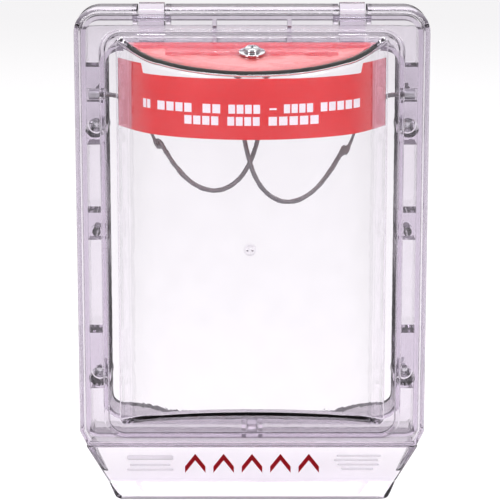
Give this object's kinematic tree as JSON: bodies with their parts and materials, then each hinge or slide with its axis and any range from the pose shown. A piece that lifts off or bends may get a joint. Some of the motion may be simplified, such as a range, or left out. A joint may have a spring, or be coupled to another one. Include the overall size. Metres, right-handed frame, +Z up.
{
  "type": "call point protective cover",
  "caption": "Clear hinged lift-up cover on a wall frame for a manual fire-alarm call point, with a red band, a grip strip and steel tether cables.",
  "frame": {"origin": "on the wall plane, at the centre of the four mounting screws", "axes": "+X to the viewer's right, +Y into the wall, +Z up"},
  "size_m": [0.1814, 0.1062, 0.2587],
  "materials": {
    "clear_frame": "clear moulded polycarbonate, polished, faintly lilac",
    "clear_cover": "clear moulded polycarbonate, polished, faintly lilac",
    "red_film": "glossy red film with plain white bars",
    "red_ink": "screen-printed red ink",
    "pin_steel": "drawn bright steel",
    "screw_steel": "bright plated steel",
    "ferrule_aluminium": "crimped, satin",
    "cable_steel": "stranded stainless wire rope",
    "terminal_steel": "tinned, satin",
    "black_rubber": "matt"
  },
  "bodies": {
    "frame": {"mounting_frame": "clear_frame", "mounting_screw_upper_left": "screw_steel", "mounting_screw_upper_right": "screw_steel", "mounting_screw_lower_left": "screw_steel", "mounting_screw_lower_right": "screw_steel", "cable_ferrule_left": "ferrule_aluminium", "cable_ferrule_right": "ferrule_aluminium", "tether_cable_left": "cable_steel", "tether_cable_right": "cable_steel"},
    "cover": {"lift_cover": "clear_cover", "instruction_label": "red_film", "top_label": "red_film", "grip_legend": "red_ink", "hinge_pin_left": "pin_steel", "hinge_pin_right": "pin_steel", "tether_bolt": "screw_steel", "tether_washer": "screw_steel", "tether_rubber_washer": "black_rubber", "tether_nut": "screw_steel", "ring_terminal_left": "terminal_steel", "ring_terminal_right": "terminal_steel"}
  },
  "joints": [
    {"name": "cover_lift", "type": "hinge", "parent": "frame", "child": "cover", "pos_m": [0, -0.009, 0.1215], "axis": [-1, 0, 0], "range_deg": [0, 95], "deforming": ["tether_cable_left", "tether_cable_right"]}
  ]
}
